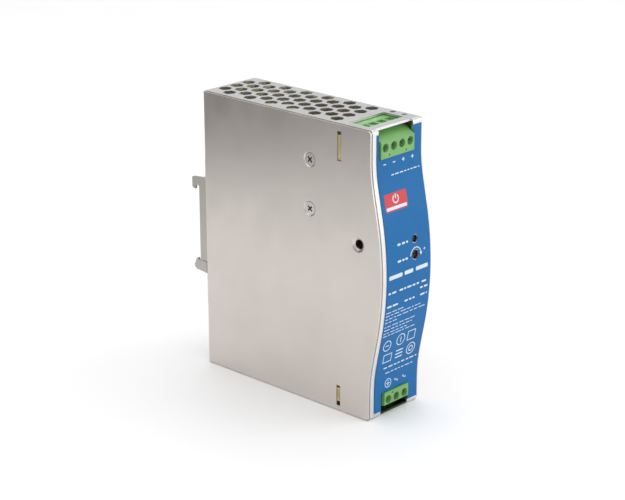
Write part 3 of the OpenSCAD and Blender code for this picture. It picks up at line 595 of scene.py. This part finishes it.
def label_piece(finishes):
    """The label, a little thinner than its CAD solid, so that the ink on it stays inside the CAD box."""
    mesh = NODES["front_label"].data.copy()
    for vertex in mesh.vertices:
        if vertex.co.y < FRONT.y(vertex.co.z) + 0.1 * MM:
            vertex.co.y += FILM_SINK
    piece = new_object("label_sheet", mesh, finishes["label_film"])
    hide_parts("front_label")
    return piece


def rounded_bar(width, height, corner):
    """Outline of a rounded rectangle round the origin, as (x, z) pairs in millimetres."""
    steps = 4
    corner = min(corner, width / 2, height / 2)
    outline = []
    for quarter, (sx, sz) in enumerate(((1, 1), (-1, 1), (-1, -1), (1, -1))):
        for k in range(steps + 1):
            a = math.pi / 2 * (quarter + k / steps)
            outline.append((sx * (width / 2 - corner) + corner * math.cos(a),
                            sz * (height / 2 - corner) + corner * math.sin(a)))
    return outline


def ring_sector(radius, line, start, end, steps=40):
    """Outline of a curved stroke between two angles in degrees."""
    angles = [math.radians(start + (end - start) * k / steps) for k in range(steps + 1)]
    outer = [((radius + line / 2) * math.cos(a), (radius + line / 2) * math.sin(a)) for a in angles]
    inner = [((radius - line / 2) * math.cos(a), (radius - line / 2) * math.sin(a)) for a in angles]
    return outer + inner[::-1]


def ring_halves(radius, line):
    """A full ring, as two half strokes."""
    return [ring_sector(radius, line, 0, 180), ring_sector(radius, line, 180, 360)]


def shifted(outline, x, z):
    return [(x + px, z + pz) for px, pz in outline]


def bar(x, z, width, height, corner=0.2):
    return shifted(rounded_bar(width, height, corner), x, z)


def print_marks(name, outlines, finish, lift):
    """Thin closed plates of ink that follow the front; outlines are in millimetres on the label."""
    mesh = bmesh.new()
    for outline in outlines:
        points = [mesh.verts.new((x * MM, 0, z * MM)) for x, z in outline]
        mesh.faces.new(points)
    step = 1.5 * MM
    up = (0, 0, 1)
    top = max(v.co.z for v in mesh.verts)
    level = min(v.co.z for v in mesh.verts) + step
    while level < top:
        everything = mesh.verts[:] + mesh.edges[:] + mesh.faces[:]
        bmesh.ops.bisect_plane(mesh, geom=everything, plane_co=(0, 0, level), plane_no=up, dist=1e-7)
        level += step
    bmesh.ops.triangulate(mesh, faces=mesh.faces)
    bmesh.ops.recalc_face_normals(mesh, faces=mesh.faces)
    made = bmesh.ops.extrude_face_region(mesh, geom=mesh.faces[:])
    back = [g for g in made["geom"] if isinstance(g, bmesh.types.BMVert)]
    front = [v for v in mesh.verts if v not in set(back)]
    for vertex in front:
        vertex.co.y = FRONT.y(vertex.co.z) + FILM_SINK - lift
    for vertex in back:
        vertex.co.y = FRONT.y(vertex.co.z) + FILM_SINK + 0.02 * MM
    bmesh.ops.recalc_face_normals(mesh, faces=mesh.faces)
    return new_object(name, mesh, finish)


def words(source, left, right, z, height, longest):
    """A line of plain bars, which stands for small print without any letters."""
    shortest, least_gap, most_gap = 1.2, 0.5, 0.9
    bars = []
    x = left
    while x < right - least_gap:
        width = min(source.uniform(shortest, longest), right - x)
        bars.append(bar(x + width / 2, z, width, height, height / 2))
        x += width + source.uniform(least_gap, most_gap)
    return bars


def polarity_signs(z, first_x, pitch):
    """Minus, minus, plus, plus under the four output poles."""
    length, line = 1.6, 0.42
    marks = []
    for i in range(4):
        x = first_x + i * pitch
        marks.append(bar(x, z, length, line, 0.1))
        if i > 1:
            marks.append(bar(x, z, line, length, 0.1))
    return marks


def earth_sign(x, z, radius):
    """Ring with a stem and three bars, the usual sign for the earth terminal."""
    marks = [shifted(half, x, z) for half in ring_halves(radius, 0.32)]
    marks.append(bar(x, z + 0.7, 0.3, 1.3, 0.1))
    for k, width in enumerate((2.2, 1.4, 0.6)):
        marks.append(bar(x, z - 0.05 - 0.55 * k, width, 0.3, 0.1))
    return marks


def wave_sign(x, z):
    """A small wave for an alternating current terminal."""
    radius, line = 0.55, 0.32
    return [shifted(ring_sector(radius, line, 0, 180, 12), x - radius, z),
            shifted(ring_sector(radius, line, 180, 360, 12), x + radius, z)]


def frame_sign(x, z, width, height):
    """A blank rectangular frame, as four bars."""
    line = 0.36
    marks = []
    for side in (-1, 1):
        marks.append(bar(x + side * width / 2, z, line, height, 0.15))
        marks.append(bar(x, z + side * height / 2, width + line, line, 0.15))
    return marks


def plain_emblems():
    """Blank rings, frames and bars in the two rows of small signs."""
    line = 0.38
    left, middle, right = (-8.2, 32.6), (0.3, 33.2), (8.3, 26.5)
    marks = []
    for place, radius in ((left, 2.3), (middle, 2.5), (right, 2.6)):
        marks += [shifted(half, *place) for half in ring_halves(radius, line)]
    marks.append(bar(*left, 2.2, 0.4, 0.2))
    marks.append(bar(*middle, 0.4, 2.6, 0.2))
    marks += [shifted(half, *right) for half in ring_halves(1.2, line)]
    marks += frame_sign(7.0, 33.3, 4.6, 4.2)
    marks += frame_sign(-6.6, 26.4, 5.0, 3.6)
    for k in range(3):
        marks.append(bar(0.8, 24.8 + 1.6 * k, 4.6, 0.55, 0.25))
    return marks


def adjust_dial(x, z):
    """Arc with an arrowhead round the trimmer, and a plus where it points."""
    radius, head = 3.2, 0.75
    plus_x, plus_z, length, line = x + 5.5, z + 1.4, 1.2, 0.32
    marks = [shifted(ring_sector(radius, 0.4, 8, 178), x, z)]
    tip = [(radius - head, 0.5), (radius + head, 0.5), (radius, -0.9)]
    marks.append(shifted(tip, x, z))
    marks.append(bar(plus_x, plus_z, length, line, 0.1))
    marks.append(bar(plus_x, plus_z, line, length, 0.1))
    return marks


def badge(finishes):
    """A plain red patch with a power sign and a bar, in place of any mark."""
    x, z, width, height = -3.55, 94.25, 13.6, 7.3
    line = 0.55
    print_marks("label_badge", [bar(x, z, width, height, 0.7)], finishes["red_ink"], INK_LIFT)
    marks = [shifted(ring_sector(1.65, line, -235, 55), x, z + 1.05)]
    marks.append(bar(x, z + 2.1, line, 2.0, 0.2))
    marks.append(bar(x, z - 2.45, width - 1.1, 1.3, 0.3))
    print_marks("label_badge_signs", marks, finishes["white_ink"], 1.5 * INK_LIFT)


def title_bars():
    """Three heavy bars where the name of the type would stand."""
    z, height = 63.7, 1.7
    return [bar(x, z, width, height, 0.5) for x, width in ((-7.2, 8.2), (1.0, 5.4), (9.2, 7.6))]


def ratings_bars(source):
    """Three lines of bars in columns, where the ratings would stand."""
    upper, middle, lower = 57.0, 54.5, 51.2
    columns = ((-11.6, -6.0, upper), (-4.7, 7.7, upper), (9.3, 13.4, upper), (8.6, 13.4, middle),
               (-11.9, -4.1, lower), (-1.0, 6.2, lower), (9.0, 13.4, lower))
    marks = []
    for left, right, z in columns:
        marks += words(source, left, right, z, 0.8, 3.4)
    return marks


def small_print(source):
    """A block of fine bars, ragged at the right."""
    left = -12.2
    marks = []
    for right, z in ((-1.0, 48.5), (10.9, 47.1), (13.3, 45.6), (-4.7, 44.1), (7.1, 42.1), (5.6, 40.6),
                     (2.7, 39.1), (8.7, 37.8)):
        marks += words(source, left, right, z, 0.32, 4.0)
    return marks


def label_printing(finishes):
    """All white printing: one piece of thin raised ink."""
    source = random.Random(7)
    lamp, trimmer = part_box("status_led"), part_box("trimmer_rotor")
    dial_x = (trimmer[0].x + trimmer[1].x) / 2 / MM
    dial_z = (trimmer[0].z + trimmer[1].z) / 2 / MM
    lamp_z = (lamp[0].z + lamp[1].z) / 2 / MM
    inputs_z = 14.0
    marks = polarity_signs(109.9, -7.9, 5.7)
    marks += words(source, -4.4, 13.2, 104.9, 0.45, 3.0)
    marks += words(source, -5.7, 0.9, lamp_z, 0.9, 2.4)
    marks += words(source, -6.0, 1.5, dial_z - 0.2, 0.9, 2.4)
    marks += adjust_dial(dial_x, dial_z)
    marks += title_bars()
    marks += ratings_bars(source)
    marks += small_print(source)
    marks += plain_emblems()
    marks += words(source, -7.9, 13.3, 21.7, 0.6, 3.0)
    marks += words(source, -6.3, 11.2, 19.0, 0.4, 3.0)
    marks += earth_sign(-4.1, inputs_z, 1.9)
    marks += wave_sign(1.1, inputs_z)
    marks += wave_sign(6.1, inputs_z)
    print_marks("label_signs", marks, finishes["white_ink"], INK_LIFT)


# ---------- wound and sprung parts ----------


def spring_piece(finishes):
    """Compression spring with closed end coils."""
    low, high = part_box("latch_spring")
    wire = 0.28 * MM
    flat = 2 * wire
    radius = (high.x - low.x) / 2 - wire
    centre = Vector(((low.x + high.x) / 2, (low.y + high.y) / 2, 0))
    turns, per_turn = 10, 28
    points = []
    for k in range(turns * per_turn + 1):
        turn = k / per_turn
        share = min(max((turn - 1) / (turns - 2), 0), 1)
        z = low.z + wire + flat * min(turn, 1) + (high.z - low.z - 2 * wire - 2 * flat) * share
        z += flat * max(turn - turns + 1, 0)
        a = 2 * math.pi * turn
        points.append(centre + Vector((radius * math.cos(a), radius * math.sin(a), z)))
    coil = sweep(points, wire, 10)
    piece = new_object("latch_spring_coil", coil, finishes["spring_steel"])
    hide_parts("latch_spring")
    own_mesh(piece)


def toroid_winding(name, node, core, spans, turns, finishes):
    """Enamelled wire laid turn by turn round a ring core that stands across the depth."""
    low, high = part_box(core)
    centre = (low + high) / 2
    core_r = (high.y - low.y) / 2
    ring_r = (high.x - low.x) / 2 - core_r
    wire, per_turn = 0.4 * MM, 22
    lay = core_r + wire + 0.02 * MM
    coils = []
    for start, end in spans:
        points = []
        for k in range(turns * per_turn + 1):
            share = k / (turns * per_turn)
            around = math.radians(start + (end - start) * share)
            a = 2 * math.pi * turns * share
            reach = ring_r + lay * math.cos(a)
            x, y, z = reach * math.cos(around), lay * math.sin(a), reach * math.sin(around)
            points.append(centre + Vector((x, y, z)))
        coils.append(sweep(points, wire, 8))
    piece = new_object(name, joined(coils), finishes["copper_wire"])
    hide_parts(node)


# ---------- the CAD nodes ----------

# Rounding of the edges in millimetres; the clamps and the small round parts keep theirs
SCREW_EDGE = 0.12
EDGE = {
    "front_shell": 0.22, "rear_shell": 0.22, "rail_bracket": 0.2, "latch_slider": 0.2,
    "output_terminal_block": 0.14, "input_terminal_block": 0.14, "cover_screws": 0.08,
    "output_board": 0.08, "input_board": 0.08, "main_board": 0.08, "secondary_heatsink": 0.15,
    "switch_heatsink": 0.15, "x_capacitor": 0.5, "transformer_core": 0.5, "transformer_bobbin": 0.2,
    "transformer_winding": 0.3, "bridge_rectifier": 0.15, "output_rectifier": 0.12,
    "switch_transistor": 0.12, "optocouplers": 0.12, "control_chip": 0.05, "trimmer_body": 0.2,
    "trimmer_rotor": 0.12, "bracket_rivets": 0.15, "latch_guide_rivets": 0.15, "board_screws": 0.15,
    "board_standoffs": 0.12, "device_screws": 0.15,
    "output_terminal_bars": 0.1, "input_terminal_bars": 0.1,
}

# Nodes that look different from the others of their material slot
OWN_FINISH = {"front_shell": "front_steel", "cover_screws": "cover_screw_steel"}


def dress_cad(finishes):
    """Gives each CAD node its finish by its material slot, and rounds its edges."""
    for name, node in NODES.items():
        slot = node.material_slots[0].material.name
        finish = OWN_FINISH.get(name, slot)
        node.material_slots[0].material = finishes[finish].material
        width = EDGE.get(name, SCREW_EDGE if "screw" in name else 0)
        if width:
            soften(node, width * MM)


# ---------- stage, light and camera ----------


def stage():
    """A wide pale floor just under the object."""
    mesh = bmesh.new()
    bmesh.ops.create_grid(mesh, x_segments=8, y_segments=8, size=4.0)
    floor = new_object("studio_floor", mesh, floor_finish(), body=None)
    floor.location.z = -0.02 * MM


def softbox(name, place, target, width, height, watts):
    """A rectangular area light at a place, turned to its target."""
    light = bpy.data.lights.new(name, "AREA")
    light.shape = "RECTANGLE"
    light.size, light.size_y = width, height
    light.energy = watts
    lamp = bpy.data.objects.new(name, light)
    bpy.context.scene.collection.objects.link(lamp)
    lamp.location = place
    lamp.rotation_mode = "QUATERNION"
    lamp.rotation_quaternion = (Vector(target) - Vector(place)).to_track_quat("-Z", "Y")


def shade_card():
    """A grey card to the left and behind, which darkens only the reflections in the metal."""
    mesh = bmesh.new()
    bmesh.ops.create_grid(mesh, x_segments=4, y_segments=4, size=CARD_HALF)
    card = new_object("shade_card", mesh, moulding("card_grey", CARD_GREY, 0.6), body=None)
    place = Vector(CARD_PLACE)
    card.scale = (1.0, CARD_SQUEEZE, 1.0)
    card.location = place
    card.rotation_mode = "QUATERNION"
    card.rotation_quaternion = (Vector((0, 0.05, place.z)) - place).to_track_quat("Z", "Y")
    card.visible_camera = False
    card.visible_diffuse = False
    card.visible_shadow = False


def light_scene():
    """Soft light from all round, a large softbox above and a small one to the right front."""
    world = bpy.data.worlds.new("studio")
    world.use_nodes = True
    background = world.node_tree.nodes["Background"]
    background.inputs["Color"].default_value = (0.99, 0.99, 1.0, 1)
    background.inputs["Strength"].default_value = 0.62
    bpy.context.scene.world = world
    middle = (cad_box[0] + cad_box[1]) / 2
    softbox("top_light", (0.0, 0.0, 1.5), middle, width=3.0, height=3.0, watts=27)
    softbox("front_light", (0.95, -1.0, 0.38), middle, width=1.0, height=0.5, watts=4)
    shade_card()
    bpy.context.scene.view_settings.view_transform = "Standard"


def camera():
    """The camera stands to the left front, a little above, with a long lens."""
    azimuth = math.radians(CAMERA_AZIMUTH)
    elevation = math.radians(CAMERA_ELEVATION)
    look = Vector((math.sin(azimuth) * math.cos(elevation), math.cos(azimuth) * math.cos(elevation),
                   -math.sin(elevation)))
    roll = Matrix.Rotation(CAMERA_ROLL, 3, "Z").to_quaternion()
    data = bpy.data.cameras.new("camera")
    data.sensor_width = 36
    data.lens = CAMERA_LENS
    data.clip_start, data.clip_end = 0.01, 50
    made = bpy.data.objects.new("camera", data)
    bpy.context.scene.collection.objects.link(made)
    made.location = CAMERA_PLACE
    made.rotation_mode = "QUATERNION"
    made.rotation_quaternion = look.to_track_quat("-Z", "Y") @ roll
    bpy.context.scene.camera = made


camera()
FINISHES = finish_table()
FINISHES["white_ink"] = ink("white_ink", WHITE_INK)
FINISHES["red_ink"] = ink("red_ink", RED_INK)
dress_cad(FINISHES)
label_piece(FINISHES)
label_printing(FINISHES)
badge(FINISHES)
spring_piece(FINISHES)
toroid_winding("line_choke_wire", "line_choke_windings", "line_choke_core",
               ((20, 160), (200, 340)), 9, FINISHES)
toroid_winding("output_choke_wire", "output_choke_winding", "output_choke_core",
               ((-150, 150),), 17, FINISHES)
stage()
light_scene()
